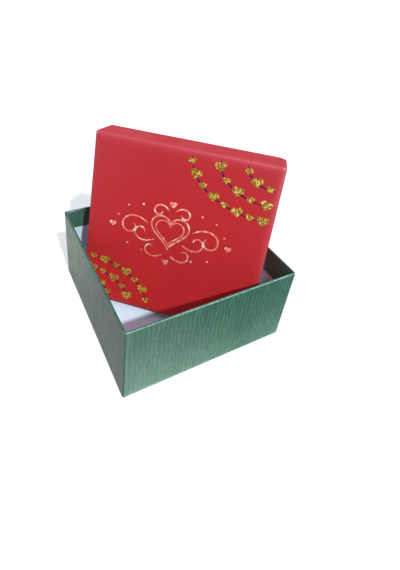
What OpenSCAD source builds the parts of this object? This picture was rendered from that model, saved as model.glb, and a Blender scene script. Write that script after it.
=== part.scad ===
// Two-piece gift box: a deep square base and a shallow lift-off lid, each a
// greyboard tray scored and folded up, stayed at its corners with paper tape,
// lined in white and wrapped in printed paper that turns in over the rim.
// The lid stands on edge inside the base, across its corner, leaning back.
// Millimetres. +Z is up, and the origin is the middle of the base's underside.
// +X runs along the front wall to the right, +Y along the left wall to the back.

/* [Base] */
// Outside width and depth of the square base
base_w = 203; // [170:1:260]
// Outside height of the base
base_h = 100; // [70:1:130]
// How far the wrap turns in at the front and right walls, below the rim
base_turn_in_long = 32; // [15:1:45]
// How far the wrap turns in at the left and back walls, below the rim
base_turn_in_short = 27; // [15:1:45]
// How far the wrap turns under the base's floor
turn_under = 15; // [8:1:30]
// Thickness of the sheet that covers the base's underside
sheet_t = 0.2; // [0.1:0.05:0.4]
// Margin from the sheet's edge to the straight part of the walls' foot
sheet_margin = 4; // [1:0.5:8]

/* [Lid] */
// Outside depth of the lid
lid_h = 45; // [30:1:55]
// Clearance between the closed lid and the base, on each side
lid_fit = 0.6; // [0.3:0.1:1.2]
// How far the lid's wrap turns in below its rim
lid_turn_in = 20; // [10:1:25]

/* [Board and paper] */
// Thickness of the greyboard
board_t = 1.6; // [1.2:0.1:2.4]
// Depth of the scores that the board folds at
score_d = 0.7; // [0.4:0.1:1]
// Slit left between two neighbouring board walls at a corner
corner_slit = 0.15; // [0.1:0.05:0.3]
// Rounding of the board's outer edge at the rim
rim_r = 0.5; // [0.3:0.1:0.8]
// Thickness of the printed wrap, pasted down
wrap_t = 0.25; // [0.15:0.05:0.4]
// Thickness of the white lining
lining_t = 0.15; // [0.1:0.05:0.3]
// Thickness of the paper tape that stays a corner
stay_t = 0.1; // [0.05:0.05:0.14]
// Width of the tape on each side of a corner
stay_leg = 20; // [12:1:30]
// Width of the cut between two turned-under flaps, along the mitre
mitre_gap = 0.6; // [0.3:0.1:1.5]
// Width of the wrap's tabs, which fold round the corners under the lapping panels
tab_w = 14; // [8:1:20]
// Length over which a lapping panel comes down to the board beside a tab
tab_slope = 2; // [1:0.5:4]
// How far a lapping panel stops short of its corner
lap_back = 1; // [0.6:0.1:2]

/* [Lid standing in the base] */
// Turn of the lid across the base's corner, in degrees
lid_turn = 43; // [41:0.5:45]
// Gap left where the lid rests on the base
rest_gap = 0.3; // [0.2:0.05:0.5]

/* [Hidden] */

$fn = 64;
eps = 0.01;

// Wall thickness below the turn-in, and where the turn-in doubles the paper
wall_low = wrap_t + board_t + lining_t;
wall_rim = wall_low + wrap_t;
// Height of the base's inner floor
base_floor = sheet_t + wrap_t + board_t + lining_t;

lid_w = base_w + 2 * (lid_fit + wall_rim);

// The lid's front lower corners touch the left and front walls, its back lower
// edge lies on the floor and its back right edge leans on the right wall's rim.
// Along the lid's facing direction that leaves this room at the rim:
lean_room = (base_w - wall_rim - wall_low - 2 * rest_gap - lid_w * cos(lid_turn)) / sin(lid_turn);
rim_rise = base_h - base_floor - rest_gap;
function reach(lean) = lid_h * cos(lean) + rim_rise * tan(lean);
function bisect(low, high, left) =
    left == 0 ? (low + high) / 2
    : let (mid = (low + high) / 2)
      reach(mid) < lean_room ? bisect(mid, high, left - 1) : bisect(low, mid, left - 1);
lid_lean = bisect(0, 45, 30);
lid_corner = [
    wall_low + rest_gap - base_w / 2,
    wall_low + rest_gap + lid_w * sin(lid_turn) - base_w / 2,
    base_floor + rest_gap + lid_h * sin(lid_lean)
];

greyboard = [0.62, 0.60, 0.56];
tape_paper = [0.80, 0.70, 0.52];
white_paper = [0.94, 0.93, 0.90];
green_paper = [0.27, 0.44, 0.35];
red_paper = [0.74, 0.17, 0.20];

// ---- Tray parts. A tray stands open side up, its outer width is w and its
// height h, and its floor board starts at z = foot. Its walls' inner corners
// are the pivots that every fold and corner is drawn from.

function pivot(w) = w / 2 - wrap_t - board_t;
function hinge_z(foot) = foot + board_t;

// Quarter disc of radius r in the quadrant that starts at the angle a
module quarter(r, a) {
    intersection() {
        circle(r);
        rotate(a) square(r + 1);
    }
}

// Upright strip from z = low to high, its outer top corner rounded by r
module wall_section(t, low, high, r) {
    difference() {
        translate([0, low]) square([t, high - low]);
        translate([t - r, high - r]) difference() {
            square(r + 1);
            circle(r);
        }
    }
}

// Carries a section (x outwards from the pivots, y up) along the four sides
module along_sides(half_run, half) {
    for (i = [0:3])
        rotate(90 * i) translate([half, half_run, 0]) rotate([90, 0, 0])
            linear_extrude(2 * half_run) children();
}

// The same, and round the corners too
module around(half) {
    along_sides(half, half) children();
    for (i = [0:3])
        rotate(90 * i) translate([half, half, 0]) rotate_extrude(angle = 90) children();
}

// Greyboard blank folded up: the walls stand outside the floor's edge, joined to
// it by the fibres that the score leaves, and each corner has an open notch.
module board_tray(w, h, foot) {
    half = pivot(w);
    fold_z = hinge_z(foot);
    translate([-half, -half, foot]) cube([2 * half, 2 * half, board_t]);
    along_sides(half - corner_slit, half) {
        wall_section(board_t, fold_z, h - wrap_t, rim_r);
        translate([0, fold_z]) quarter(board_t - score_d, -90);
    }
}

// Paper tape round one corner, outside the board
module stay(w, h, foot) {
    half = pivot(w);
    translate([0, 0, hinge_z(foot)]) linear_extrude(h - wrap_t - rim_r - hinge_z(foot))
        translate([half, half]) {
            difference() {
                quarter(board_t + stay_t, 0);
                circle(board_t);
            }
            translate([board_t, -stay_leg]) square([stay_t, stay_leg]);
            translate([-stay_leg, board_t]) square([stay_leg, stay_t]);
        }
}

module corner_stay(w, h, foot, quarter_turns) {
    rotate(90 * quarter_turns) stay(w, h, foot);
}

// White paper pasted over the floor and up the walls to the rim's fold
module lining_tray(w, h, foot) {
    half = pivot(w);
    floor_z = hinge_z(foot);
    difference() {
        translate([-half, -half, floor_z]) cube([2 * half, 2 * half, h - wall_fold() - floor_z]);
        translate([lining_t - half, lining_t - half, floor_z + lining_t])
            cube([2 * (half - lining_t), 2 * (half - lining_t), h]);
    }
}

// Radius of the wrap's fold on the inner side of the rim
function wall_fold() = lining_t + wrap_t;

// Wrap outside the pivots: up the wall, round the foot and over the rim
module wrap_section(h, foot) {
    fold_z = hinge_z(foot);
    difference() {
        union() {
            wall_section(board_t + wrap_t, fold_z, h, rim_r + wrap_t);
            translate([0, fold_z]) quarter(board_t + wrap_t, -90);
        }
        wall_section(board_t, fold_z - eps, h - wrap_t, rim_r);
        translate([0, fold_z]) quarter(board_t, -90);
    }
}

// Wrap on the walls of a tray, with its turn-ins in the order
// right, back, left, front, and the corner tapes' places left open
module wall_wrap(w, h, foot, turn_ins) {
    half = pivot(w);
    difference() {
        around(half) wrap_section(h, foot);
        for (i = [0:3]) corner_stay(w, h, foot, i);
    }
    along_sides(half, half) translate([0, h - wall_fold()]) quarter(wall_fold(), 90);
    for (i = [0:3])
        rotate(90 * i) translate([half - wall_fold(), lining_t - half, h - turn_ins[i]])
            cube([wrap_t, 2 * (half - lining_t), turn_ins[i] - wall_fold()]);
}

// Step of a lapping panel over the tab beneath it, at both ends of two opposite
// walls, starting with the wall that lies quarter_turns on from the right one
module corner_laps(w, h, foot, quarter_turns) {
    half = pivot(w);
    wall_top = h - wrap_t - rim_r;
    for (i = [0, 2], end = [0, 1])
        rotate(90 * (quarter_turns + i)) mirror([0, end, 0])
            translate([half + board_t + wrap_t - eps, half, hinge_z(foot)])
                linear_extrude(wall_top - hinge_z(foot))
                    polygon([
                        [0, -tab_w - tab_slope], [wrap_t + eps, -tab_w],
                        [wrap_t + eps, -lap_back], [0, -lap_back]
                    ]);
}

// Flaps turned under the floor, parted along the mitres
module under_flaps(w, foot) {
    half = pivot(w);
    translate([0, 0, foot - wrap_t]) linear_extrude(wrap_t) difference() {
        square(2 * half, center = true);
        square(2 * (half - turn_under), center = true);
        for (i = [0:3])
            rotate(90 * i + 45)
                translate([sqrt(2) * (half - 2 * board_t) - 2 * turn_under, -mitre_gap / 2])
                    square([2 * turn_under, mitre_gap]);
    }
}

base_foot = sheet_t + wrap_t;
lid_foot = wrap_t;

module base_stay_node(quarter_turns) {
    color(tape_paper) corner_stay(base_w, base_h, base_foot, quarter_turns);
}

// Stands a tray on edge with its floor to the front, at the lid's place
module at_lid() {
    translate(lid_corner) rotate([-lid_lean, 0, -lid_turn])
        translate([lid_w / 2, 0, lid_w / 2]) rotate([90, 0, 180]) children();
}

module lid_stay_node(quarter_turns) {
    color(tape_paper) at_lid() corner_stay(lid_w, lid_h, lid_foot, quarter_turns);
}

// ---- Base

module base_board() {
    color(greyboard) board_tray(base_w, base_h, base_foot);
}

module base_stay_back_right() { base_stay_node(0); }
module base_stay_back_left() { base_stay_node(1); }
module base_stay_front_left() { base_stay_node(2); }
module base_stay_front_right() { base_stay_node(3); }

module base_lining() {
    color(white_paper) lining_tray(base_w, base_h, base_foot);
}

module base_wrap() {
    turn_ins = [base_turn_in_long, base_turn_in_short, base_turn_in_short, base_turn_in_long];
    color(green_paper) {
        wall_wrap(base_w, base_h, base_foot, turn_ins);
        corner_laps(base_w, base_h, base_foot, 1);
        under_flaps(base_w, base_foot);
    }
}

module base_bottom_sheet() {
    side = 2 * (pivot(base_w) - sheet_margin);
    color(white_paper) translate([-side / 2, -side / 2, 0]) cube([side, side, sheet_t]);
}

// ---- Lid

module lid_board() {
    color(greyboard) at_lid() board_tray(lid_w, lid_h, lid_foot);
}

module lid_stay_high_left() { lid_stay_node(0); }
module lid_stay_high_right() { lid_stay_node(1); }
module lid_stay_low_right() { lid_stay_node(2); }
module lid_stay_low_left() { lid_stay_node(3); }

module lid_lining() {
    color(white_paper) at_lid() lining_tray(lid_w, lid_h, lid_foot);
}

module lid_wrap() {
    turn_ins = [for (i = [0:3]) lid_turn_in];
    side = 2 * pivot(lid_w);
    color(red_paper) at_lid() {
        wall_wrap(lid_w, lid_h, lid_foot, turn_ins);
        corner_laps(lid_w, lid_h, lid_foot, 0);
        translate([-side / 2, -side / 2, 0]) cube([side, side, wrap_t]);
    }
}

base_board();
base_stay_front_left();
base_stay_front_right();
base_stay_back_right();
base_stay_back_left();
base_lining();
base_wrap();
base_bottom_sheet();
lid_board();
lid_stay_low_left();
lid_stay_low_right();
lid_stay_high_right();
lid_stay_high_left();
lid_lining();
lid_wrap();
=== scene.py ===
"""A square gift box, its red lid standing on edge inside the open green base."""

import bmesh
import bpy
import math
import numpy as np
from mathutils import Matrix, Vector


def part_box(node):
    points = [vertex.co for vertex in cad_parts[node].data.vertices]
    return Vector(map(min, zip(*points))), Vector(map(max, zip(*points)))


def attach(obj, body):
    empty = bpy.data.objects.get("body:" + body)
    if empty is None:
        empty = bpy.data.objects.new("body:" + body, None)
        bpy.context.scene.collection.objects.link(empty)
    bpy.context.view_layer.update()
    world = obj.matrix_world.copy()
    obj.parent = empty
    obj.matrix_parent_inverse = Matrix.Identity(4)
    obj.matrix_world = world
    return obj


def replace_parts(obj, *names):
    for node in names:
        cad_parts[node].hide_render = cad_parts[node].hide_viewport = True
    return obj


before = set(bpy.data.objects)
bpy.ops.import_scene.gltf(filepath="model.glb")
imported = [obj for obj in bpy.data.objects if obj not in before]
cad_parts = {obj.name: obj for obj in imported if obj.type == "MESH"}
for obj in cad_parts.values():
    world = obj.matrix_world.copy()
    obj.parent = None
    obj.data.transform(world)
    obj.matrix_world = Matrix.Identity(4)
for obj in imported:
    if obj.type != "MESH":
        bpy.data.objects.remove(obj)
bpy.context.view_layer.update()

# ---- Sizes in millimetres, as the greyboard trays have them
MM = 0.001
# How thick each layer is
BOARD = 1.6
WRAP = 0.25
LINING = 0.15
STAY = 0.1
SHEET = 0.2
WALL_LOW = WRAP + BOARD + LINING
WALL_RIM = WALL_LOW + WRAP
# How far the corner tapes reach, and how deep the wraps are turned under and in
STAY_LEG = 20.0
TURN_UNDER = 15.0
TURN_IN_LONG = 32.0
TURN_IN_SHORT = 27.0
LID_TURN_IN = 20.0
# The lid's depth, its play on the closed box, and how it stands in the open one
LID_H = 45.0
LID_FIT = 0.6
REST_GAP = 0.3
LID_TURN = math.radians(43)
# Rounds of the boards' and the wraps' rims, and how far below them the meshes get finer
RIM_ROUND = 0.5
RIM_OUTER = 1.15
NEAR_RIM = 14.0
# The lid's face bends back in a wide arc, by so many degrees, before it folds over
FOLD_ROUND = 2.2
CROWN_R = 60.0
CROWN_ANGLE = 10.0
CROWN_SIN = math.sin(math.radians(CROWN_ANGLE))
CROWN_COS = math.cos(math.radians(CROWN_ANGLE))
FOLD_X = BOARD + WRAP - FOLD_ROUND
FOLD_Z = CROWN_R * (1 - CROWN_COS) + FOLD_ROUND * CROWN_COS
CROWN_X = FOLD_X - (CROWN_R - FOLD_ROUND) * CROWN_SIN

# Decoration on the lid's face
ORNAMENT = (99.0, 106.0)
DOUBLE_HEART = (44.0, 33.0)
FOIL_W = 1.9
FOIL_H = 0.12
DOT_R = 1.3
FACE_MARGIN = 4.5
# How far the lines and pillows of the decoration, and the pillows' undersides, are sunk in the paper
SUNK = 0.01
SUNK_FOOT = 0.03
STRING_W = 2.2
STRING_H = 0.05
HEART_LARGE = 13.5
HEART_SMALL = 9.0
HEART_RISE = 2.5
GLUE_H = 0.22
FLAKES_PER_MM2 = 0.42
FLAKE_REACH = (0.55, 0.95)
FLAKE_LIFT = (0.24, 0.42)
FLAKE_TILT = 0.38
FLAKE_THICK = 0.06

# The base's sizes are those of its CAD wrap, and the lid's follow from them
low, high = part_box("base_wrap")
BASE_W = (high.x - low.x) / MM
BASE_H = high.z / MM
LID_W = BASE_W + 2 * (LID_FIT + WALL_RIM)
BASE_FLOOR = SHEET + WRAP + BOARD + LINING
BASE_FOOT = SHEET + WRAP
LID_FOOT = WRAP


def lean_angle():
    """Lean at which the standing lid's back edge meets the rim, where depth * cos(lean) + rise *
    tan(lean) is the room, found by halving the range."""
    room = BASE_W - WALL_RIM - WALL_LOW - 2 * REST_GAP - LID_W * math.cos(LID_TURN)
    room /= math.sin(LID_TURN)
    rise = BASE_H - BASE_FLOOR - REST_GAP
    low_angle, high_angle = 0.0, math.radians(45)
    for _ in range(40):
        middle = (low_angle + high_angle) / 2
        short = LID_H * math.cos(middle) + rise * math.tan(middle) < room
        low_angle, high_angle = (middle, high_angle) if short else (low_angle, middle)
    return low_angle


LID_LEAN = lean_angle()
LID_CORNER = Vector((
    WALL_LOW + REST_GAP - BASE_W / 2,
    WALL_LOW + REST_GAP + LID_W * math.sin(LID_TURN) - BASE_W / 2,
    BASE_FLOOR + REST_GAP + LID_H * math.sin(LID_LEAN),
))
# Tray coordinates (floor at z = 0, open side up) to the standing lid's place
LID_PLACE = (
    Matrix.Translation(LID_CORNER)
    @ Matrix.Rotation(-LID_TURN, 4, "Z")
    @ Matrix.Rotation(-LID_LEAN, 4, "X")
    @ Matrix.Translation((LID_W / 2, 0, LID_W / 2))
    @ Matrix.Rotation(math.pi, 4, "Z")
    @ Matrix.Rotation(math.pi / 2, 4, "X")
)
PLACES = {"base": Matrix.Identity(4), "lid": LID_PLACE}
# A knock on the lid's rim, in its tray coordinates
KNOCK_AT = np.array([-LID_W / 2, LID_W / 2, LID_H])
KNOCK_PUSH = np.array([0.9, -0.6, -1.7])
KNOCK_REACH = 8.0

# The wraps' laps and mitres, and the wavelength and size of their uneven edges
LAP_SHORT = 0.95
LAP_PROUD = 0.16
MITRE = 6.0
EDGE_WAVE = (47.0, 0.12)
RIM_WAVE = (61.0, 0.07)
# Wear, which along the rims is also a painted highlight: how wide it is, and how strong it is at the foot and
# at the upright corners
RIM_WEAR_AND_SHEEN = 0.8
FOOT_RUB = (1.3, 0.3)
CORNER_RUB = (3.0, 0.2)
TIP_RUN = 3.5
CHIP_RUN = 18.0
CHIP_BELOW = 0.9
# The face's band of painted highlight: where it lies and how wide; the crease's width; the reach of the
# painted sheen from the face's edges
BAND_BACK = 3.2
PAINTED_BAND_WIDTH = 4.0
CREASE_RUB = 1.0
PAINTED_SHEEN_REACH = (45.0, 35.0, 24.0)
# Sides of a tray, each a quarter turn on from +x; the lid shows its tray's left side on the right
RIGHT, BACK, LEFT, FRONT = range(4)


# ---- Mesh making
def knocked(points):
    """Pushes the lid's rim in at one corner, by (1 - (distance / reach)^2)^2."""
    away = np.linalg.norm(points - KNOCK_AT, axis=1, keepdims=True) / KNOCK_REACH
    return points + KNOCK_PUSH * np.clip(1 - away ** 2, 0, 1) ** 2


def put_in_scene(name, data):
    """A new object of the scene that holds the data."""
    made = bpy.data.objects.new(name, data)
    bpy.context.scene.collection.objects.link(made)
    return made


def piece(name, points, faces, body, material, uv=None, values=None, sharp=32, second=None):
    """A closed mesh from points in tray millimetres, welded, with its faces turned outwards, and shaded
    smooth up to the sharp angle. The second material, given with a mask of points, goes on the faces
    that lie all within the mask."""
    points = np.asarray(points, float).reshape(-1, 3)
    if body == "lid":
        points = knocked(points)
    faces = np.asarray(faces, np.int32)
    turn = np.array(PLACES[body].to_3x3())
    world = (points @ turn.T + np.array(PLACES[body].translation)) * MM
    mesh = bpy.data.meshes.new(name)
    mesh.vertices.add(len(world))
    mesh.vertices.foreach_set("co", world.ravel())
    mesh.loops.add(faces.size)
    mesh.loops.foreach_set("vertex_index", faces.ravel())
    mesh.polygons.add(len(faces))
    mesh.polygons.foreach_set("loop_start", np.arange(0, faces.size, faces.shape[1], dtype=np.int32))
    mesh.update(calc_edges=True)
    if uv is not None:
        layer = mesh.uv_layers.new(name="paper")
        layer.data.foreach_set("uv", np.asarray(uv, float)[faces.ravel()].ravel())
    for key, value in (values or {}).items():
        stored = mesh.attributes.new(key, "FLOAT", "POINT")
        stored.data.foreach_set("value", np.asarray(value, float).ravel())
    mesh.materials.append(material)
    if second is not None:
        mesh.materials.append(second[0])
        mesh.polygons.foreach_set("material_index", np.ravel(second[1])[faces].all(1).astype(np.int32))
    work = bmesh.new()
    work.from_mesh(mesh)
    bmesh.ops.remove_doubles(work, verts=work.verts, dist=2e-6)
    bmesh.ops.dissolve_degenerate(work, edges=work.edges, dist=1e-6)
    bmesh.ops.recalc_face_normals(work, faces=work.faces)
    work.to_mesh(mesh)
    work.free()
    mesh.polygons.foreach_set("use_smooth", np.ones(len(mesh.polygons), bool))
    mesh.set_sharp_from_angle(angle=math.radians(sharp))
    made = put_in_scene(name, mesh)
    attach(made, body)
    return made


def grid_faces(columns, rows, wrap_rows=False):
    """Quads between neighbouring points of a grid stored column by column."""
    last = rows if wrap_rows else rows - 1
    i, j = np.meshgrid(np.arange(columns - 1), np.arange(last), indexing="ij")
    k = (j + 1) % rows
    return np.stack([i * rows + j, (i + 1) * rows + j, (i + 1) * rows + k, i * rows + k], -1).reshape(-1, 4)


def arc(cx, cz, r, start, end, steps):
    """Points of a circle of radius r round (cx, cz), from the start angle to the end angle in degrees."""
    t = np.radians(np.linspace(start, end, steps))
    return np.stack([cx + r * np.cos(t), cz + r * np.sin(t)], -1)


def line(x0, z0, x1, z1, step):
    """Evenly spaced points from (x0, z0) to (x1, z1), about a step apart, both ends included."""
    count = max(2, int(math.hypot(x1 - x0, z1 - z0) / step) + 1)
    t = np.linspace(0, 1, count)[:, None]
    return np.array([[x0, z0]]) * (1 - t) + np.array([[x1, z1]]) * t


def path_columns(half, step=4.0, corner_steps=10):
    """Stations round a square of pivots: side number, run along the side, angle round the corner. They
    are closer together near the corners and on both sides of a lap's edge."""
    near = np.array([0, 0.25, 0.5, 0.8, 0.9, 1.0, 1.1, 1.6, 2.4, 3.6, 5.5, 8])
    run = np.concatenate([near, np.linspace(near[-1], half, int(half / step))[1:]]) - half
    run = np.concatenate([run, -run[-2::-1]])
    turn = np.linspace(0, math.pi / 2, corner_steps + 1)[1:-1]
    side = np.concatenate([run, np.full(len(turn), half)])
    angle = np.concatenate([np.zeros(len(run)), turn])
    sides = np.repeat(np.arange(4), len(side))
    runs = np.append(np.tile(side, 4), -half)
    angles = np.append(np.tile(angle, 4), 0.0)
    sides = np.append(sides, 4)
    return sides, runs, angles


def pivots(w):
    """How far a tray's pivots, the inner faces of its board walls, are from its middle: half its width
    less the wrap and the board."""
    return w / 2 - WRAP - BOARD


def carry(half, stations, x, z):
    """Carries a section along the stations. Outside the pivots (x > 0) it swings round each corner,
    and inside them it is mitred: a point at x < 0 on a side's run shrinks with the square."""
    sides, runs, angles = (v[:, None] for v in stations)
    out, inner = np.maximum(x, 0), np.minimum(x, 0)
    px = half + out * np.cos(angles) + inner
    py = runs + out * np.sin(angles) + runs / half * inner
    turn = sides * math.pi / 2
    shape = np.broadcast(px, py, z).shape
    return np.stack([
        np.broadcast_to(px * np.cos(turn) - py * np.sin(turn), shape),
        np.broadcast_to(px * np.sin(turn) + py * np.cos(turn), shape),
        np.broadcast_to(z, shape),
    ], -1)


def wobble(along, seed, wave, size):
    """A smooth uneven line: three sines of unlike wavelengths and random phases."""
    phase = np.random.default_rng(seed).uniform(0, 2 * math.pi, 3)
    total = sum(np.sin(2 * math.pi * along / (wave * k) + p) / k for k, p in zip((1.0, 1.7, 2.9), phase))
    return size * total


def rim_section(h, fold):
    """The wrap's outer path: an arc round the foot's fold, a line up the wall, a quarter arc, the rim's
    flat and a quarter arc down inside. The fold is given by its outer radius, its centre's x and z, and
    the angle at which it starts."""
    outer_r, centre_x, fold_z, begin = fold
    thick = BOARD + WRAP
    inner = LINING + WRAP
    return np.concatenate([
        arc(centre_x, fold_z, outer_r, begin, 0, 10),
        line(thick, fold_z, thick, h - NEAR_RIM, 4.0)[1:],
        line(thick, h - NEAR_RIM, thick, h - RIM_OUTER, 1.5)[1:],
        arc(thick - RIM_OUTER, h - RIM_OUTER, RIM_OUTER, 0, 90, 7)[1:],
        line(thick - RIM_OUTER, h, 0, h, 0.4)[1:],
        arc(0, h - inner, inner, 90, 180, 6)[1:],
    ])


def board_section(h, start, fold):
    """A board's outer path, a wrap's thickness inside the wrap's: from the middle, round the fold's arc,
    up the wall and over its rounded rim."""
    outer_r, centre_x, fold_z, begin = fold
    return np.concatenate([
        start(WRAP),
        arc(centre_x, fold_z, outer_r - WRAP, begin, 0, 8),
        line(BOARD, fold_z, BOARD, h - NEAR_RIM, 12.0)[1:],
        line(BOARD, h - NEAR_RIM, BOARD, h - WRAP - RIM_ROUND, 1.5)[1:],
        arc(BOARD - RIM_ROUND, h - WRAP - RIM_ROUND, RIM_ROUND, 0, 90, 4)[1:],
        line(BOARD - RIM_ROUND, h - WRAP, 0, h - WRAP, 1.2)[1:],
    ])


def board_piece(name, w, h, foot, start, fold, body, material):
    """Folded board tray: its outer path under the wrap, then down inside the wall and over the floor."""
    half = pivots(w)
    section = np.concatenate([
        board_section(h, start, fold),
        line(0, h - WRAP, 0, foot + BOARD, 10.0)[1:],
        line(0, foot + BOARD, -half, foot + BOARD, 20.0)[1:],
    ])
    points = carry(half, path_columns(half, 12.0, 3), section[None, :, 0], section[None, :, 1])
    faces = grid_faces(len(points), len(section), wrap_rows=True)
    return piece(name, points, faces, body, material)


def tape_piece(name, w, foot, top, corner, body, material):
    """A corner's paper tape: a thin strip between the board and its wrap, a line along each side and a
    quarter arc round the corner. Its stations crowd together towards the corner, by the power 1.5."""
    half = pivots(w)
    run = half - STAY_LEG * np.linspace(1, 0, 13) ** 1.5
    turn = np.linspace(0, math.pi / 2, 7)[1:-1]
    stations = (
        np.repeat([corner, corner, corner + 1], [len(run), len(turn), len(run)]),
        np.concatenate([run, np.full(len(turn), half), -run[::-1]]),
        np.concatenate([np.zeros(len(run)), turn, np.zeros(len(run))]),
    )
    heights = np.concatenate([np.linspace(foot, top - NEAR_RIM, 5), np.linspace(top - NEAR_RIM, top, 11)[1:]])
    rows_x = np.repeat([BOARD + STAY, BOARD], len(heights))
    rows_z = np.concatenate([heights, heights[::-1]])
    points = carry(half, stations, rows_x[None, :], rows_z[None, :])
    rows = len(rows_z)
    i = np.arange(len(heights) - 1)
    end = np.stack([i, i + 1, rows - 2 - i, rows - 1 - i], -1)
    last = (len(points) - 1) * rows
    faces = np.concatenate([grid_faces(len(points), rows, wrap_rows=True), end[:, ::-1], end + last])
    return piece(name, points, faces, body, material)


def edge_wear_and_sheen(half, h, stations, rows_x, rows_z, side_wear_and_sheen, chipped):
    """Wear that falls off as a bell curve from the rim's ridge and from the foot, and evenly from the upright
    corners; along the rim it is also a painted highlight, stronger on the sides with higher weights. And the
    bare tips, where the rim or the foot meets a corner and both of the corner's sides are scuffed. The
    chipped side has flecks just under its rim, towards its far end."""
    sides, runs, angles = stations
    to_corner = half - np.abs(runs)
    ridge_x, ridge_z = BOARD + WRAP - 0.3 * RIM_OUTER, h - 0.3 * RIM_OUTER
    at_rim = np.exp(-((rows_x - ridge_x) ** 2 + (rows_z - ridge_z) ** 2) / RIM_WEAR_AND_SHEEN ** 2)
    at_foot = np.exp(-((rows_z - rows_z.min()) / FOOT_RUB[0]) ** 2) * (rows_x > 0)
    at_corner = np.clip(1 - to_corner / CORNER_RUB[0], 0, 1)[:, None] * (rows_x > 0.5)
    own = side_wear_and_sheen[sides % 4][:, None]
    beyond = side_wear_and_sheen[(sides + np.where(runs > 0, 1, -1)) % 4][:, None]
    wear = np.maximum(at_rim * own, np.maximum(at_foot * FOOT_RUB[1], at_corner * CORNER_RUB[1]))
    tip = np.maximum(at_rim, at_foot) * np.clip(1 - to_corner / TIP_RUN, 0, 1)[:, None] ** 2
    tip = tip * np.minimum(beyond, own)
    if chipped is not None:
        reach = np.clip(1 - (half - runs) / CHIP_RUN, 0, 1) * (sides % 4 == chipped) * (angles == 0)
        below = h - LINING - WRAP - CHIP_BELOW
        flecks = np.exp(-(rows_z - below) ** 2) * (rows_x < 0)
        tip = np.maximum(tip, 2.0 * np.sqrt(reach)[:, None] * flecks)
    return wear, tip


def fading(distance, start, reach, least):
    """A weight of start - distance / reach, kept between the least and one."""
    return np.clip(start - distance / reach, least, 1)


def face_wear_and_sheen(w, points, length, side_wear_and_sheen, painted_sheen_share):
    """Marks on the face, bell curves along the line where the face bends back: a band of painted highlight,
    and a crease that is scuffed and painted lighter as a highlight; and a painted sheen, which fades as
    exp(-distance) from the left, top and right edges."""
    left, top, right = w / 2 - points[..., 0], w / 2 - points[..., 1], w / 2 + points[..., 0]
    band = np.exp(-(length / PAINTED_BAND_WIDTH) ** 2)[None, :] * side_wear_and_sheen * fading(top, 1.3, 150, 0.3)
    crease = np.exp(-(length / CREASE_RUB) ** 2)[None, :] * side_wear_and_sheen
    crease = crease * fading(right, 1.1, 150, 0.2) * fading(top, 1.15, 80, 0.1)
    at_left, at_top, at_right = (
        share * np.exp(-distance / reach)
        for share, distance, reach in zip(painted_sheen_share, (left, top, right), PAINTED_SHEEN_REACH)
    )
    return band, crease, (at_left + at_right) * fading(top, 1.3, 130, 0) + at_top


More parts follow.
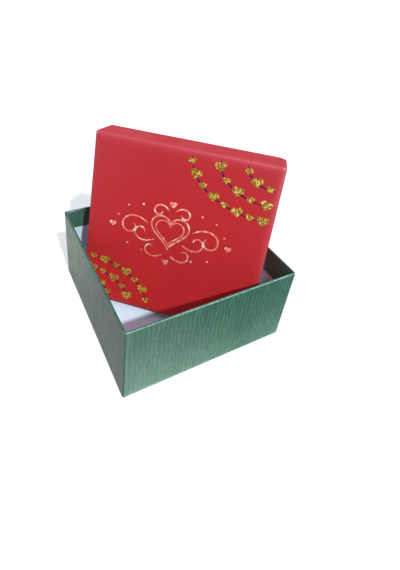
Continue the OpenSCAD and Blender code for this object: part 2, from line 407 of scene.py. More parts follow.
def wrap_piece(name, w, h, start, fold, turn_ins, body, material, *, lap_sides, wear_and_sheen_by_side, seed,
               painted_sheen_share=(0, 0, 0), turned_in=None, chipped=None):
    """Paper wrap of a tray: its section starts with the points start gives for a depth in the paper, rounds
    the fold, climbs the wall, rounds the rim and ends with the turn-in, then comes back a paper's thickness
    inside. The turn-in's edge is uneven and cut off at a slant towards the corners. The lapping sides stand
    proud. One weight a side says how scuffed that side is and how strong the painted highlight along its rim
    and fold is. Three shares say how strong the painted sheen is at the face's left, top and right edges.
    Chipped says which side has flecks, and turned_in is the turn-in's own material."""
    half = pivots(w)
    inner = LINING + WRAP
    stations = path_columns(half)
    sides, runs, angles = stations
    to_corner = half - np.abs(runs)
    along = sides * (2 * half + BOARD * math.pi / 2) + runs + half + angles * BOARD
    outside = np.concatenate([start(0.0), rim_section(h, fold)])
    # Back path: over the board's rim, down the wall and along the start again
    back = board_section(h, start, fold)[::-1]
    inside = np.concatenate([arc(0, h - inner, LINING, 180, 90, 3), back[1:]])
    # Shares of the turn-in's depth at its rows, down its face and up its back, with a cut edge between
    # them that is rounded a little
    run_in = np.concatenate([[0.02, 0.05, 0.09], np.linspace(0, 1, 9)[1:]])
    run_out = np.array([0.98, 0.6, 0.2])
    section_x = np.concatenate([
        outside[:, 0], np.full(len(run_in) - 1, -inner), [-LINING - WRAP * 0.85, -LINING - WRAP * 0.15],
        np.full(len(run_out), -LINING), inside[:, 0],
    ])
    # The turn-in's depth: mitred near the corners and clipped a little more at their very ends
    slant = np.minimum(to_corner, MITRE)
    deep = np.minimum(np.array(turn_ins)[sides % 4], min(turn_ins) + slant)
    deep = deep - 0.25 * np.maximum(2 - slant, 0) + wobble(along, seed, *EDGE_WAVE)
    down = h - inner - (deep[:, None] - inner) * run_in[None, :]
    up = h - inner - (deep[:, None] - inner) * run_out[None, :]
    rows_z = np.concatenate([
        np.repeat(outside[None, :, 1], len(runs), 0), down[:, :-1], np.repeat(down[:, -1:], 2, 1), up,
        np.repeat(inside[None, :, 1], len(runs), 0),
    ], 1)
    # The rim waves up and down, fading in over the wall's last 6 mm
    rim_share = np.clip((rows_z - (h - 6)) / 5, 0, 1)
    rows_z = rows_z + rim_share * wobble(along, seed + 1, *RIM_WAVE)[:, None]
    # The lapping sides' paper ends just short of the corner, over the other sides' tabs
    laps = np.isin(sides % 4, lap_sides)
    lapping = laps & (to_corner > LAP_SHORT) & (angles == 0)
    wall_rows = (np.arange(len(section_x)) < len(outside)) & (section_x > BOARD + WRAP - 0.001)
    rows_x = section_x[None, :] + np.where(lapping[:, None] & wall_rows[None, :], LAP_PROUD, 0.0)
    cut_edge = (laps & (np.abs(to_corner - LAP_SHORT) < 0.2))[:, None] & wall_rows[None, :]
    points = carry(half, stations, rows_x, rows_z)
    length = np.append(0, np.cumsum(np.hypot(np.diff(rows_x[0]), np.diff(rows_z[0]))))
    uv = np.stack(np.broadcast_arrays(along[:, None], length[None, :]), -1) * MM
    side_wear_and_sheen = np.array(wear_and_sheen_by_side)
    # Scuffing at the rim, foot and corners, along the rim also a painted highlight, and the bare tips
    wear, tip = edge_wear_and_sheen(half, h, stations, rows_x, rows_z, side_wear_and_sheen, chipped)
    # The face bends back a little before the section reaches the wall
    bend = length[np.argmax(section_x > 0.99 * (BOARD + WRAP))] - BAND_BACK
    # The band of painted highlight, the crease, scuffed and painted lighter, and the painted sheen near the
    # face's edges
    band, crease, haze = face_wear_and_sheen(w, points, length - bend, side_wear_and_sheen[sides % 4][:, None], painted_sheen_share)
    return piece(
        name, points, grid_faces(len(runs), len(section_x), wrap_rows=True), body, material,
        uv.reshape(-1, 2),
        {"wear": wear, "cut_edge": cut_edge, "band": band, "crease": crease, "tip": tip, "haze": haze},
        second=None if turned_in is None else (turned_in, (rows_x < 0) & (rows_z > h / 2)),
    )


def lining_piece(name, w, h, foot, body, material, seed):
    """White paper tray: from the floor's middle out to a small fillet, up the wall, and back outside it.
    The pasted floor ripples by the product of two wobbles, less and less towards the walls."""
    half = pivots(w)
    fillet = 0.9
    floor_z = foot + BOARD + LINING
    top = h - LINING - WRAP
    floor_line = line(-half, floor_z, -LINING - fillet, floor_z, 5.0)
    section = np.concatenate([
        floor_line,
        arc(-LINING - fillet, floor_z + fillet, fillet, -90, 0, 6)[1:],
        line(-LINING, floor_z + fillet, -LINING, top, 5.0)[1:],
        line(0, top, 0, floor_z - LINING, 8.0),
        line(0, floor_z - LINING, -half, floor_z - LINING, 25.0)[1:],
    ])
    rows_x, rows_z = section[None, :, 0], section[None, :, 1]
    points = carry(half, path_columns(half, 6.0, 3), rows_x, rows_z)
    calm = np.clip(-rows_x / 20, 0, 1) * (np.arange(len(section)) < len(floor_line))[None, :]
    ripple = wobble(points[..., 0], seed, 83.0, 0.5) * wobble(points[..., 1], seed + 5, 71.0, 0.5)
    points[..., 2] += 0.05 * np.abs(ripple) * calm
    # Painted shade: a weight that is highest where the floor meets the walls
    corner = np.exp(-((rows_z - floor_z) / 2.0) ** 2) * np.exp(-((rows_x + LINING) / 2.0) ** 2)
    return piece(
        name, points, grid_faces(len(points), len(section), wrap_rows=True), body, material,
        values={"wear": np.broadcast_to(corner, points.shape[:2])},
    )


# ---- Decoration on the lid's face. Face coordinates (u to the right, v up) start at the face's lower
# left corner as it stands, and rise is the height above the paper.
def on_face(u, v, rise):
    """Face coordinates to the lid's tray coordinates. Near the edges they follow the face's bend, which
    drops by way^2 / (2 * radius) over the way past its start."""
    edge = np.minimum(np.minimum(u, LID_W - u), np.minimum(v, LID_W - v))
    drop = np.clip(WRAP + BOARD - CROWN_X - edge, 0, None) ** 2 / (2 * CROWN_R)
    return np.stack(np.broadcast_arrays(LID_W / 2 - u, v - LID_W / 2, drop - rise), -1)


def curl(u, v, heading, length, bend_start, bend_end, steps=64):
    """A curl whose bend changes evenly along it: its heading is the running sum of the bend (1/mm)."""
    bend = np.linspace(bend_start, bend_end, steps)
    step = length / steps
    angle = math.radians(heading) + np.cumsum(bend) * step
    return np.stack([u + np.cumsum(np.cos(angle)) * step, v + np.cumsum(np.sin(angle)) * step], -1)


def heart(u, v, size, turn=0.0, steps=73):
    """The heart curve x = 16 (sin t)^3, y = 13 cos t - 5 cos 2t - 2 cos 3t - cos 4t, which is 32 wide,
    raised by HEART_RISE to centre it and scaled to its size."""
    t = np.linspace(0, 2 * math.pi, steps)
    x = 16 * np.sin(t) ** 3
    y = 13 * np.cos(t) - 5 * np.cos(2 * t) - 2 * np.cos(3 * t) - np.cos(4 * t) + HEART_RISE
    c, s = math.cos(turn), math.sin(turn)
    return np.stack([u + (x * c - y * s) * size / 32, v + (x * s + y * c) * size / 32], -1)


def stroke(path, width, height, closed=False, taper=0.12):
    """A pressed line: half an ellipse of the given width and height carried along a path, drawn in at
    its ends as the square root of the way from them."""
    path = np.asarray(path)
    along = np.gradient(path, axis=0)
    if closed:
        path = path[:-1]
        along = np.roll(path, -1, 0) - np.roll(path, 1, 0)
    along = along / np.linalg.norm(along, axis=1, keepdims=True)
    across = np.stack([-along[:, 1], along[:, 0]], -1)
    t = np.linspace(0, 1, len(path))
    full = np.ones(len(path)) if closed else np.sqrt(np.clip(np.minimum(t, 1 - t) / taper, 0.0004, 1))
    angle = np.radians(np.array([0, 36, 72, 108, 144, 180]))
    side = np.cos(angle)[None, :] * full[:, None] * width / 2
    rise = np.sin(angle)[None, :] * full[:, None] * height
    uv = path[:, None, :] + across[:, None, :] * side[..., None]
    points = on_face(uv[..., 0], uv[..., 1], rise - SUNK)
    if closed:
        points = np.concatenate([points, points[:1]])
    faces = grid_faces(len(points), len(angle), wrap_rows=True)
    if not closed:
        first = np.array([[0, 1, 4, 5], [1, 2, 3, 4]])
        last = np.array([[5, 4, 1, 0], [4, 3, 2, 1]]) + (len(points) - 1) * len(angle)
        faces = np.concatenate([faces, first, last])
    return points.reshape(-1, 3), faces


def dome(outline, height, rings=5):
    """A low pillow over an outline: rings shrink to its middle and rise as 1 - r^3."""
    outline = outline[:-1]
    middle = outline.mean(0)
    r = np.linspace(1, 0, rings + 1)
    uv = middle + (outline - middle)[:, None, :] * r[None, :, None]
    rise = height * (1 - r ** 3)
    top = on_face(uv[..., 0], uv[..., 1], rise[None, :] - SUNK)
    foot = on_face(*np.broadcast_arrays(uv[:, ::-1, 0], uv[:, ::-1, 1]), np.full(rings + 1, -SUNK_FOOT))
    points = np.concatenate([top, foot], 1)
    points = np.concatenate([points, points[:1]])
    return points.reshape(-1, 3), grid_faces(len(points), points.shape[1], wrap_rows=True)


def gather(shapes):
    """Joins several (points, faces) into one pair."""
    starts = np.append(0, np.cumsum([len(points) for points, _ in shapes])[:-1])
    points = np.concatenate([points for points, _ in shapes])
    return points, np.concatenate([faces + start for (_, faces), start in zip(shapes, starts)])


def flakes(hearts, seed):
    """Glitter: thin six-sided flakes strewn inside each heart, where a spot is nearer to the heart's
    middle than its outline is in that direction. Each flake is turned at random and tilted: its corners
    rise by their way in a random direction times the tilt's tangent."""
    rng = np.random.default_rng(seed)
    spots = []
    for u, v, size, turn in hearts:
        tries = int(size * size * FLAKES_PER_MM2)
        x, y = rng.uniform(-0.5, 0.5, (2, tries)) * size
        outline = heart(0, 0, size, 0, 121)[:-1]
        bearing = np.arctan2(outline[:, 1], outline[:, 0])
        order = np.argsort(bearing)
        edge = np.interp(np.arctan2(y, x), bearing[order], np.hypot(*outline[order].T), period=2 * math.pi)
        keep = np.hypot(x, y) < edge - FLAKE_REACH[1] * 0.7
        c, s = math.cos(turn), math.sin(turn)
        spots.append(np.stack([u + x * c - y * s, v + x * s + y * c], -1)[keep])
    spots = np.concatenate(spots)
    count = len(spots)
    reach = rng.uniform(*FLAKE_REACH, count)[:, None]
    hexagon = np.arange(6) * math.pi / 3 + rng.uniform(0, math.pi, count)[:, None]
    tilt, way = rng.uniform(0, FLAKE_TILT, count)[:, None], rng.uniform(0, 2 * math.pi, count)[:, None]
    lift = rng.uniform(*FLAKE_LIFT, count)[:, None]
    du, dv = reach * np.cos(hexagon), reach * np.sin(hexagon)
    rise = np.maximum(lift + (du * np.cos(way) + dv * np.sin(way)) * np.tan(tilt), 0.1)
    u, v = spots[:, :1] + du, spots[:, 1:] + dv
    points = np.concatenate([on_face(u, v, rise), on_face(u, v, rise - FLAKE_THICK)], 1).reshape(-1, 3)
    ring = np.arange(6)
    following = (ring + 1) % 6
    walls = np.stack([ring, following, following + 6, ring + 6], -1)
    lids = np.array([[0, 1, 2, 3], [3, 4, 5, 0], [9, 8, 7, 6], [6, 11, 10, 9]])
    one = np.concatenate([walls, lids])
    faces = (one[None] + 12 * np.arange(count)[:, None, None]).reshape(-1, 4)
    return points, faces, np.repeat(rng.uniform(0, 1, count), 12)


# ---- Materials
GREEN_DEEP = (0.0145, 0.081, 0.039)
GREEN_PALE = (0.072, 0.186, 0.110)
# The turned-in green: a paler, bluer copy, a painted reflection
GREEN_TURNED = (0.09, 0.25, 0.19)
# Scuffed green, along the rims partly a painted highlight
GREEN_WORN_AND_SHEEN = (0.46, 0.63, 0.54)
GREEN_BARE = (0.62, 0.70, 0.64)
GREEN_CUT = (0.40, 0.55, 0.46)
RED_INK = (0.53, 0.022, 0.0218)
# Painted sheen near the face's edges, and the fold's band of painted highlight
RED_PAINTED_SHEEN = (0.58, 0.043, 0.050)
RED_BAND = (0.62, 0.075, 0.086)
# Scuffed red, along the folds and rims partly a painted highlight
RED_WORN_AND_SHEEN = (0.74, 0.20, 0.22)
RED_BARE = (0.80, 0.68, 0.66)
RED_CUT = (0.75, 0.35, 0.35)
PAPER_WHITE = (0.80, 0.94, 1.0)
# Painted shade where the lining's floor meets its walls
PAPER_PAINTED_SHADE = (0.5, 0.5, 0.52)


def toned(colour, factor):
    """The colour with each part multiplied by the factor."""
    return tuple(factor * part for part in colour)


class Nodes:
    """Short ways to add the nodes of a tree and to join them. A value may be a number, a colour or
    another node's socket."""

    def __init__(self, tree):
        self.tree = tree
        self.link = tree.links.new

    def add(self, kind, **settings):
        """A node with its input values or its settings."""
        node = self.tree.nodes.new(kind)
        for key, value in settings.items():
            if key in node.inputs.keys():
                node.inputs[key].default_value = value
            else:
                setattr(node, key, value)
        return node

    def feed(self, socket, value):
        """Joins a socket to another one, or gives it a number or a colour."""
        if isinstance(value, bpy.types.NodeSocket):
            self.link(value, socket)
        elif isinstance(value, tuple):
            socket.default_value = (*value, 1)
        else:
            socket.default_value = value

    def maths(self, operation, *values):
        """One arithmetic step."""
        node = self.add("ShaderNodeMath", operation=operation)
        for socket, value in zip(node.inputs, values):
            self.feed(socket, value)
        return node.outputs[0]

    def times(self, first, second, plus=None):
        """A product, with a third value added to it if there is one."""
        if plus is None:
            return self.maths("MULTIPLY", first, second)
        return self.maths("MULTIPLY_ADD", first, second, plus)

    def span(self, source, low_in, high_in, low_out=0.0, high_out=1.0):
        """Maps a value from one range to another, clamped."""
        node = self.add("ShaderNodeMapRange")
        for key, value in zip(("Value", "From Min", "From Max", "To Min", "To Max"),
                              (source, low_in, high_in, low_out, high_out)):
            self.feed(node.inputs[key], value)
        return node.outputs["Result"]

    def blend(self, amount, first, second, mode="MIX"):
        """Lays the second colour over the first, by an amount from 0 to 1."""
        node = self.add("ShaderNodeMix", data_type="RGBA", blend_type=mode)
        for socket, value in zip((node.inputs[0], node.inputs[6], node.inputs[7]), (amount, first, second)):
            self.feed(socket, value)
        return node.outputs[2]

    def ramp(self, source, stops):
        """A colour ramp through (place, colour) stops, the lowest and the highest given first."""
        node = self.add("ShaderNodeValToRGB")
        for i, (place, colour) in enumerate(stops):
            stop = node.color_ramp.elements[i] if i < 2 else node.color_ramp.elements.new(place)
            stop.position = place
            stop.color = (*colour, 1)
        self.link(source, node.inputs["Fac"])
        return node.outputs["Color"]

    def attribute(self, name):
        """A mesh attribute's value."""
        return self.add("ShaderNodeAttribute", attribute_name=name).outputs["Fac"]

    def parts(self, vector):
        """The parts of a vector, under the names X, Y and Z."""
        node = self.add("ShaderNodeSeparateXYZ")
        self.link(vector, node.inputs[0])
        return node.outputs

    def scaled(self, where, scale):
        """Coordinates stretched by a factor along each axis."""
        node = self.add("ShaderNodeMapping")
        node.inputs["Scale"].default_value = scale
        self.link(where, node.inputs["Vector"])
        return node.outputs["Vector"]

    def noise(self, where, scale, detail=2.0, rough=0.5):
        """A noise texture's value at the given coordinates."""
        node = self.add("ShaderNodeTexNoise", Scale=scale, Detail=detail, Roughness=rough)
        self.link(where, node.inputs["Vector"])
        return node.outputs["Fac"]

    def shade(self, shader, colour, rough, film=0.5, metal=0.0):
        """Gives a shader its colour, its roughness, the shine of its film and its share of metal."""
        keys = ("Base Color", "Roughness", "Specular IOR Level", "Metallic")
        for key, value in zip(keys, (colour, rough, film, metal)):
            self.feed(shader.inputs[key], value)

    def bump(self, shader, height, strength, distance):
        """Raises the surface by a height."""
        node = self.add("ShaderNodeBump", Strength=strength, Distance=distance)
        self.link(height, node.inputs["Height"])
        self.link(node.outputs["Normal"], shader.inputs["Normal"])


def new_material(name):
    """A material, its Principled shader, the helper for its nodes and the object coordinates."""
    made = bpy.data.materials.new(name)
    made.use_nodes = True
    nodes = Nodes(made.node_tree)
    place = nodes.add("ShaderNodeTexCoord").outputs["Object"]
    return made, made.node_tree.nodes["Principled BSDF"], nodes, place


def stroke_layer(nodes, where, width, length, shift):
    """Upright soft strokes, one in each cell of a staggered grid (cells width x length, in metres): a
    random offset, slant and thickness for each cell, and a slow sideways drift of the whole layer."""
    parts = nodes.parts(where)
    drift = nodes.noise(nodes.scaled(where, (45, 60, 1)), 1.0, 1.0)
    waver = nodes.noise(nodes.scaled(where, (190, 110, 1)), 1.0, 1.0)
    u = nodes.times(drift, 0.0026, parts["X"])
    u = nodes.times(waver, 0.0022, u)
    u = nodes.maths("DIVIDE", nodes.maths("ADD", u, shift), width)
    column = nodes.maths("FLOOR", u)
    across = nodes.maths("SUBTRACT", nodes.maths("SUBTRACT", u, column), 0.5)
    stagger = nodes.add("ShaderNodeTexWhiteNoise", noise_dimensions="1D")
    nodes.link(column, stagger.inputs["W"])
    v = nodes.maths("DIVIDE", parts["Y"], length)
    v = nodes.times(v, nodes.times(stagger.outputs["Value"], 0.5, 0.8))
    v = nodes.times(stagger.outputs["Value"], 7.31, v)
    row = nodes.maths("FLOOR", v)
    along = nodes.maths("SUBTRACT", v, row)
    cell = nodes.add("ShaderNodeCombineXYZ")
    nodes.link(column, cell.inputs["X"])
    nodes.link(row, cell.inputs["Y"])
    chance = nodes.add("ShaderNodeTexWhiteNoise", noise_dimensions="2D")
    nodes.link(cell.outputs[0], chance.inputs["Vector"])
    chances = nodes.parts(chance.outputs["Color"])
    offset = nodes.times(chances["X"], 0.3, -0.15)
    from_middle = nodes.maths("SUBTRACT", along, 0.5)
    slant = nodes.times(nodes.times(chances["Y"], 0.8, -0.4), from_middle)
    away = nodes.maths("SUBTRACT", nodes.maths("SUBTRACT", across, offset), slant)
    ends = nodes.maths("ABSOLUTE", from_middle)
    thick = nodes.times(chances["Z"], 0.06, 0.13)
    thick = nodes.times(thick, nodes.span(ends, 0.28, 0.5, 1.0, 0.3))
    share = nodes.maths("DIVIDE", nodes.maths("ABSOLUTE", away), thick)
    return nodes.times(nodes.span(share, 0.3, 1.5, 1.0, 0.0), nodes.span(ends, 0.44, 0.5, 1.0, 0.25))


def green_print(name, film, painted_lift_share=0.0):
    """Green paper printed with wavering pale strokes that run up the walls, scuffed pale along its edges,
    which along the rims is also a painted highlight, under a satin film whose shine is film. The turned-in
    part is painted paler and bluer by its share, a painted reflection."""
    made, shader, nodes, place = new_material(name)
    where = nodes.add("ShaderNodeUVMap", uv_map="paper").outputs["UV"]
    fade = nodes.noise(nodes.scaled(where, (70, 30, 1)), 1.0, 1.0)
    first = stroke_layer(nodes, where, 0.0051, 0.020, 0.0)
    second = stroke_layer(nodes, where, 0.0059, 0.015, 0.3)
    second = nodes.times(second, nodes.span(fade, 0.5, 0.7, 0.1, 0.7))
    strokes = nodes.maths("MAXIMUM", first, second)
    strokes = nodes.times(strokes, nodes.span(fade, 0.35, 0.6, 0.5, 0.95))
    cloud = nodes.span(nodes.noise(place, 30.0, 3.0, 0.55), 0.35, 0.65)
    colour = nodes.blend(cloud, GREEN_DEEP, toned(GREEN_DEEP, 1.3))
    colour = nodes.blend(strokes, colour, GREEN_PALE)
    # Painted reflection: the turned-in part is made paler and bluer
    colour = nodes.blend(painted_lift_share, colour, GREEN_TURNED)
    rub = nodes.noise(place, 420.0, 3.0, 0.65)
    # Scuffed pale at the rims, foot and corners; along the rims partly a painted highlight
    worn_and_sheen = nodes.maths("POWER", nodes.attribute("wear"), 1.5)
    worn_and_sheen = nodes.times(worn_and_sheen, nodes.span(rub, 0.40, 0.64, 0.3, 1.0))
    colour = nodes.blend(worn_and_sheen, colour, GREEN_WORN_AND_SHEEN)
    bare = nodes.times(nodes.attribute("tip"), nodes.span(rub, 0.4, 0.55, 0.0, 0.5))
    colour = nodes.blend(bare, colour, GREEN_BARE)
    cut = nodes.times(nodes.attribute("cut_edge"), 0.12)
    colour = nodes.blend(cut, colour, GREEN_CUT)
    rough = nodes.span(nodes.noise(place, 60.0, 4.0), 0.3, 0.7, 0.42, 0.5)
    nodes.shade(shader, colour, nodes.times(nodes.attribute("wear"), -0.14, rough), film)
    fibre, swell = nodes.noise(place, 900.0, 3.0, 0.6), nodes.noise(place, 30.0, 2.0)
    nodes.bump(shader, nodes.times(fibre, 0.25, swell), 0.3, 0.0004)
    return made


def red_print():
    """Red paper under a satin film, faintly uneven, with a painted sheen near the face's edges and a band of
    painted highlight along the fold, and scuffed pale along its folds and rims, partly as a painted
    highlight.
    """
    made, shader, nodes, place = new_material("red_print")
    cloud = nodes.span(nodes.noise(place, 14.0, 3.0, 0.5), 0.3, 0.7)
    colour = nodes.blend(cloud, RED_INK, toned(RED_INK, 1.14))
    # Painted sheen near the face's left, top and right edges, then the fold's band of painted highlight
    colour = nodes.blend(nodes.attribute("haze"), colour, RED_PAINTED_SHEEN)
    colour = nodes.blend(nodes.times(nodes.attribute("band"), 0.6), colour, RED_BAND)
    rub = nodes.noise(place, 380.0, 3.0, 0.65)
    # Scuffed pale along the crease and rims, partly a painted highlight
    worn_and_sheen = nodes.times(nodes.attribute("crease"), 1.5, nodes.attribute("wear"))
    worn_and_sheen = nodes.times(worn_and_sheen, nodes.span(rub, 0.4, 0.7, 0.15, 0.45))
    colour = nodes.blend(worn_and_sheen, colour, RED_WORN_AND_SHEEN)
    bare = nodes.times(nodes.attribute("tip"), nodes.span(rub, 0.4, 0.55))
    colour = nodes.blend(bare, colour, RED_BARE)
    colour = nodes.blend(nodes.times(nodes.attribute("cut_edge"), 0.3), colour, RED_CUT)
    rough = nodes.span(nodes.noise(place, 45.0, 4.0), 0.3, 0.7, 0.58, 0.7)
    nodes.shade(shader, colour, rough, 0.06)
    fibre, swell = nodes.noise(place, 800.0, 3.0, 0.6), nodes.noise(place, 26.0, 2.0)
    nodes.bump(shader, nodes.times(fibre, 0.2, swell), 0.3, 0.0004)
    return made


def white_paper():
    """Uncoated white lining paper with faint fibres, with painted shade, a little grey, along the floor's
    crease.
    """
    made, shader, nodes, place = new_material("white_paper")
    fibre = nodes.noise(place, 700.0, 4.0, 0.65)
    cloud = nodes.noise(place, 18.0, 2.0)
    tone = nodes.span(nodes.times(fibre, 0.4, cloud), 0.5, 0.9)
    colour = nodes.blend(tone, toned(PAPER_WHITE, 0.955), PAPER_WHITE)
    # Painted shade, a little grey, along the floor's crease
    colour = nodes.blend(nodes.times(nodes.attribute("wear"), 0.25), colour, PAPER_PAINTED_SHADE)
    nodes.shade(shader, colour, 0.82, 0.2)
    nodes.bump(shader, fibre, 0.25, 0.0003)
    return made


def chip_board():
    """Grey chipboard: pressed waste fibres in grey, with darker and paler specks."""
    made, shader, nodes, place = new_material("chip_board")
    fibre = nodes.noise(nodes.scaled(place, (1, 1, 2.5)), 520.0, 5.0, 0.7)
    speck = nodes.noise(place, 1500.0, 2.0)
    colour = nodes.ramp(fibre, [
        (0.3, (0.24, 0.22, 0.19)), (0.7, (0.40, 0.38, 0.34)), (0.5, (0.33, 0.31, 0.27)),
    ])
    colour = nodes.blend(nodes.span(speck, 0.66, 0.72, 0, 0.7), colour, (0.12, 0.11, 0.10))
    nodes.shade(shader, colour, 0.9)
    nodes.bump(shader, fibre, 0.6, 0.0005)
    return made


def tape_paper():
    """Brown gummed paper tape with its lengthwise fibres."""
    made, shader, nodes, place = new_material("tape_paper")
    fibre = nodes.noise(nodes.scaled(place, (1, 1, 0.2)), 900.0, 4.0, 0.6)
    colour = nodes.blend(fibre, (0.42, 0.29, 0.16), (0.56, 0.41, 0.25))
    nodes.shade(shader, colour, 0.75)
    nodes.bump(shader, fibre, 0.4, 0.0003)
    return made


def copper_foil():
    """Hot-pressed copper foil, finely dimpled by the paper under it, with random spots painted near white as
    glints: painted highlight.
    """
    made, shader, nodes, place = new_material("copper_foil")
    glint_patch = nodes.noise(place, 180.0, 3.0, 0.6)
    # Painted highlight: random spots painted near white stand in for glints
    colour = nodes.ramp(glint_patch, [
        (0.42, (1.0, 0.20, 0.11)), (0.64, (1.0, 0.90, 0.76)), (0.54, (1.0, 0.32, 0.20)),
    ])
    nodes.shade(shader, colour, nodes.span(glint_patch, 0.3, 0.7, 0.2, 0.4), metal=0.35)
    nodes.bump(shader, nodes.noise(place, 1100.0, 2.0), 0.5, 0.0003)
    return made


def gold_glitter():
    """Glitter flakes: olive, gold and bright yellow by each flake's random tone; the bright yellow flakes are
    painted glints.
    """
    made, shader, nodes, place = new_material("gold_glitter")
    stain = nodes.noise(place, 900.0, 2.0)
    colour = nodes.ramp(nodes.attribute("tone"), [
        (0.0, (0.16, 0.07, 0.004)), (1.0, (1.0, 0.80, 0.30)), (0.38, (0.34, 0.15, 0.006)),
        (0.44, (1.0, 0.50, 0.01)), (0.72, (1.0, 0.67, 0.05)),
    ])
    colour = nodes.blend(nodes.span(stain, 0.4, 0.6, 0, 0.15), colour, (0.48, 0.26, 0.02))
    nodes.shade(shader, colour, 0.28, metal=0.4)
    return made


def glitter_glue():
    """The olive ink and glue film that the flakes stick to, full of finer flakes."""
    made, shader, nodes, place = new_material("glitter_glue")
    spot = nodes.noise(place, 1500.0, 3.0, 0.6)
    colour = nodes.ramp(spot, [
        (0.38, (0.20, 0.08, 0.008)), (0.68, (1.0, 0.55, 0.06)),
        (0.5, (0.32, 0.14, 0.015)), (0.58, (0.44, 0.19, 0.02)),
    ])
    nodes.shade(shader, colour, 0.4, 0.3)
    nodes.bump(shader, spot, 0.8, 0.0005)
    return made


def plum_ink():
    """Plum print, a little uneven where the ink is thin."""
    made, shader, nodes, place = new_material("plum_ink")
    thin = nodes.noise(place, 500.0, 3.0)
    colour = nodes.blend(nodes.span(thin, 0.35, 0.7), (0.12, 0.008, 0.028), (0.21, 0.012, 0.035))
    nodes.shade(shader, colour, 0.5, 0.15)
    return made


green, turned_green = green_print("green_print", 0.1), green_print("green_turn_in", 1.0, 0.4)
red, white = red_print(), white_paper()
board, tape, foil = chip_board(), tape_paper(), copper_foil()
gold, glue, plum = gold_glitter(), glitter_glue(), plum_ink()


# ---- Base
def base_under(depth):
    """The base wrap's turned-under part, at a depth in the paper."""
    return line(-TURN_UNDER, SHEET + depth, 0, SHEET + depth, 3.0)[:-1]


base_wrap = wrap_piece(
    "base_green_wrap", BASE_W, BASE_H, base_under, (BOARD + WRAP, 0.0, BASE_FOOT + BOARD, -90),
    (TURN_IN_LONG, TURN_IN_SHORT, TURN_IN_SHORT, TURN_IN_LONG), "base", green,
    # One weight a side: how scuffed its rim is and how strong the painted highlight there is
    lap_sides=(FRONT, BACK), wear_and_sheen_by_side=(0.7, 1.3, 0.35, 1.0), seed=11, turned_in=turned_green, chipped=BACK,
)
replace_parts(base_wrap, "base_wrap")
base_lining = lining_piece("base_white_lining", BASE_W, BASE_H, BASE_FOOT, "base", white, 3)
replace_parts(base_lining, "base_lining")

# ---- Lid
lid_half = pivots(LID_W)
lid_fold = (FOLD_ROUND, FOLD_X, FOLD_Z, CROWN_ANGLE - 90)


def lid_face(depth):
    """The lid's face at a depth in it: a flat line, then an arc of the crown's radius less the depth,
    which bends back towards the fold."""
    bend = arc(CROWN_X, CROWN_R, CROWN_R - depth, -90, CROWN_ANGLE - 90, 7)
    return np.concatenate([line(-lid_half, depth, CROWN_X, depth, 6.0), bend[1:-1]])


lid_wrap = wrap_piece(
    "lid_red_wrap", LID_W, LID_H, lid_face, lid_fold, (LID_TURN_IN,) * 4,
    "lid", red,
    # One weight a side for scuffing and painted highlight; shares of painted sheen at the face's left, top
    # and right edges
    lap_sides=(RIGHT, LEFT), wear_and_sheen_by_side=(0.35, 1.0, 1.0, 0.4), seed=23, painted_sheen_share=(0.7, 0.5, 0.5),
)
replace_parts(lid_wrap, "lid_wrap")
lid_board = board_piece("lid_grey_board", LID_W, LID_H, LID_FOOT, lid_face, lid_fold, "lid", board)
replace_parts(lid_board, "lid_board")
# Each corner tape goes round the lid's corner that is nearest to its CAD node
lid_corner = Vector((lid_half, lid_half, LID_H / 2))
for name in ("low_left", "low_right", "high_right", "high_left"):
    near = sum(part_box("lid_stay_" + name), Vector()) / 2
    corner = min(range(4), key=lambda i: (
        LID_PLACE @ Matrix.Rotation(i * math.pi / 2, 4, "Z") @ lid_corner * MM - near
    ).length)
    top = LID_H - WRAP - RIM_ROUND
    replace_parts(tape_piece("lid_tape_" + name, LID_W, FOLD_Z, top, corner, "lid", tape), "lid_stay_" + name)
lid_lining = lining_piece("lid_white_lining", LID_W, LID_H, LID_FOOT, "lid", white, 8)
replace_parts(lid_lining, "lid_lining")


def ornament():
    """Copper foil in the face's middle: a double heart between mirrored curls, with small hearts and
    dots round it. Each curl starts at a place off the middle, with its heading, length and bends. The
    first two small hearts are on the middle line and aren't mirrored."""
    u, v = ORNAMENT
    shapes = [
        stroke(heart(u, v + 1, DOUBLE_HEART[0]), FOIL_W, FOIL_H, closed=True),
        stroke(heart(u, v + 1, DOUBLE_HEART[1]), FOIL_W * 0.8, FOIL_H, closed=True),
    ]
    curls = (
        (24.5, 7, 36, 72, -0.012, -0.165), (15.5, -9, -30, 50, 0.005, 0.21),
        (3, 28, 52, 38, -0.04, -0.26), (4, -26, -34, 40, 0.005, 0.22),
    )
    hearts = ((0, 36, 9), (0, -36, 8), (68, -2, 8))
    dots = ((34, 30), (51, 25), (30, -27), (48, -22), (62, 11))
    for side in (1, -1):
        for du, dv, *bends in curls:
            path = curl(0, 0, *bends)
            shapes.append(stroke((u, v) + (path + (du, dv)) * (side, 1), FOIL_W, FOIL_H))
        for du, dv, size in hearts[2 if side < 0 else 0:]:
            shapes.append(dome(heart(u + side * du, v + dv, size), FOIL_H * 1.5, 3))
        for du, dv in dots:
            t = np.linspace(0, 2 * math.pi, 19)
            ring = np.stack([u + side * du + DOT_R * np.cos(t), v + dv + DOT_R * np.sin(t)], -1)
            shapes.append(dome(ring, FOIL_H * 1.6, 3))
    points, faces = gather(shapes)
    return piece("lid_copper_ornament", points, faces, "lid", foil, sharp=50)


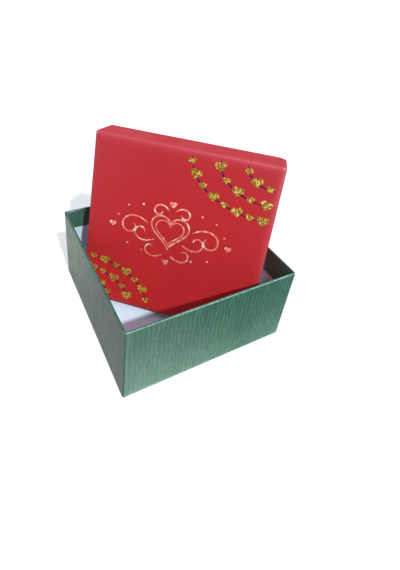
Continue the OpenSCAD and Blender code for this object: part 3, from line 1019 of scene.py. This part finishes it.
def garlands(corner, sign, reaches):
    """Strings of hearts round a corner of the face: quarter ellipses with the given reaches along u and
    v, and hearts evenly spaced along each string, large and small in turn and rocking a little."""
    strings, hearts = [], []
    for number, (reach_u, reach_v, count) in enumerate(reaches):
        t = np.linspace(0, math.pi / 2, 80)
        path = corner + sign * np.stack([reach_u * np.cos(t), reach_v * np.sin(t)], -1)
        strings.append(path)
        run = np.append(0, np.cumsum(np.hypot(*np.diff(path, axis=0).T)))
        for i in range(count):
            spot = path[np.searchsorted(run, run[-1] * (i + 0.5) / count)]
            size = HEART_LARGE if (i + number) % 2 else HEART_SMALL
            hearts.append((*spot, size, 0.2 * math.sin(2.4 * i + number)))
    return strings, hearts


def corner_decoration(name, corner, sign, reaches, seed):
    """Plum strings, the glue of their hearts and the glitter on it, as three pieces."""
    strings, hearts = garlands(corner, sign, reaches)
    points, faces = gather([stroke(path, STRING_W, STRING_H, taper=0.3) for path in strings])
    piece(f"lid_plum_strings_{name}", points, faces, "lid", plum, sharp=60)
    points, faces = gather([dome(heart(u, v, size, turn, 49), GLUE_H) for u, v, size, turn in hearts])
    piece(f"lid_glue_hearts_{name}", points, faces, "lid", glue, sharp=60)
    points, faces, tone = flakes(hearts, seed)
    values = {"tone": tone}
    piece(f"lid_gold_glitter_{name}", points, faces, "lid", gold, values=values, sharp=30)


ornament()
corner_decoration("high", LID_W - FACE_MARGIN, -1, ((34, 23, 3), (63, 41, 5), (93, 59, 8)), 41)
corner_decoration("low", FACE_MARGIN, 1, ((31, 19, 3), (55, 35, 5), (79, 51, 7)), 57)


# ---- Carried-over pieces
def carried_finish(name):
    """What a carried-over piece is made of: board, corner tape or, for the rest, white paper."""
    if name.endswith("board"):
        return board
    return tape if "stay" in name else white


for name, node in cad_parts.items():
    node.data.materials.clear()
    node.data.materials.append(carried_finish(name))


# ---- Floor, light and camera
def show_floor():
    """A plain pale floor that reads as white to the camera, half of it by its own light, so that the
    shadow on it stays pale. What the box's film mirrors of it is bright along the front wall's foot, most
    of all near its left end, to the left of that end, and by the back left corner."""
    mesh = bpy.data.meshes.new("floor")
    corners = [(6.0 * x, 6.0 * y, 0) for x, y in ((-1, -1), (1, -1), (1, 1), (-1, 1))]
    mesh.from_pydata(corners, [], [(0, 1, 2, 3)])
    made, _, nodes, place = new_material("pale_floor")
    rays = nodes.add("ShaderNodeLightPath").outputs
    x, y, _ = nodes.parts(place)

    def spot(centre, reach):
        """One at the centre, falling evenly to nothing at the reach."""
        away = nodes.add("ShaderNodeVectorMath", operation="DISTANCE")
        nodes.link(place, away.inputs[0])
        away.inputs[1].default_value = centre
        return nodes.span(away.outputs["Value"], 0.0, reach, 1.0, 0.0)

    # Places in metres: the left wall stands at x = -0.1015 and the front wall at y = -0.1015
    in_front = nodes.times(nodes.span(y, -0.103, -0.095, 1.0, 0.0), nodes.span(x, -0.105, -0.095))
    by_foot = nodes.times(in_front, nodes.span(y, -0.145, -0.10))
    by_left_end = nodes.times(in_front, spot((-0.10, -0.15, 0), 0.16))
    beside = nodes.times(nodes.span(x, -0.105, -0.095, 1.0, 0.0), nodes.span(y, -0.12, -0.09))
    beside = nodes.times(beside, nodes.span(x, -0.3, -0.15))
    by_back_corner = nodes.times(nodes.span(x, -0.116, -0.104, 1.0, 0.0), spot((-0.13, 0.17, 0), 0.13))
    mirrored = (0.88, 0.86, 0.84)
    for share, glow in (
        (by_foot, (3.1, 3.2, 2.8)), (by_left_end, (6.0, 4.1, 4.3)),
        (beside, (1.1, 0.5, 0.5)), (by_back_corner, (0.8, 1.0, 0.6)),
    ):
        mirrored = nodes.blend(share, mirrored, glow, "ADD")
    glossy = nodes.maths("MAXIMUM", rays["Is Glossy Ray"], rays["Is Transmission Ray"])
    colour = nodes.blend(glossy, (0.28, 0.28, 0.28), mirrored)
    colour = nodes.blend(rays["Is Camera Ray"], colour, (0.65, 0.60, 0.55))
    lit, own = nodes.add("ShaderNodeBsdfDiffuse"), nodes.add("ShaderNodeEmission")
    nodes.link(colour, lit.inputs["Color"])
    nodes.link(nodes.times(rays["Is Camera Ray"], 0.5), own.inputs["Strength"])
    light = nodes.add("ShaderNodeAddShader")
    nodes.link(lit.outputs[0], light.inputs[0])
    nodes.link(own.outputs[0], light.inputs[1])
    nodes.link(light.outputs[0], made.node_tree.nodes["Material Output"].inputs["Surface"])
    mesh.materials.append(made)
    put_in_scene("floor", mesh)


def show_light():
    """A broad soft sky, which the camera and all that mirrors it see as white, and one high lamp in
    front, which casts moderately sharp shadows."""
    world = bpy.data.worlds.new("studio")
    bpy.context.scene.world = world
    world.use_nodes = True
    nodes = Nodes(world.node_tree)
    rays = nodes.add("ShaderNodeLightPath").outputs
    seen = nodes.maths("MAXIMUM", rays["Is Camera Ray"], rays["Is Transmission Ray"])
    seen = nodes.maths("MAXIMUM", seen, rays["Is Glossy Ray"])
    sky = nodes.blend(seen, (0.46, 0.53, 0.68), (1.0, 1.0, 1.0))
    nodes.link(sky, world.node_tree.nodes["Background"].inputs["Color"])
    lamp = bpy.data.lights.new("window", "SUN")
    lamp.energy = 2.8
    lamp.angle = math.radians(2.5)
    lamp.color = (0.84, 0.95, 1.05)
    holder = put_in_scene("window", lamp)
    holder.rotation_euler = Vector((-0.03, -0.66, 0.75)).to_track_quat("Z", "Y").to_euler()


def show_camera():
    """A short lens close above the front left corner, its frame shifted down and to the right."""
    data = bpy.data.cameras.new("camera")
    data.lens = 25.627
    data.sensor_width = 36.0
    data.shift_x = 0.0432
    data.shift_y = -0.1639
    data.clip_start = 0.02
    holder = put_in_scene("camera", data)
    holder.location = (-0.19541, -0.3205, 0.4026)
    holder.rotation_euler = tuple(math.radians(a) for a in (57.817, -5.0, -27.748))
    bpy.context.scene.camera = holder


show_floor()
show_light()
show_camera()
bpy.context.scene.view_settings.view_transform = "Standard"
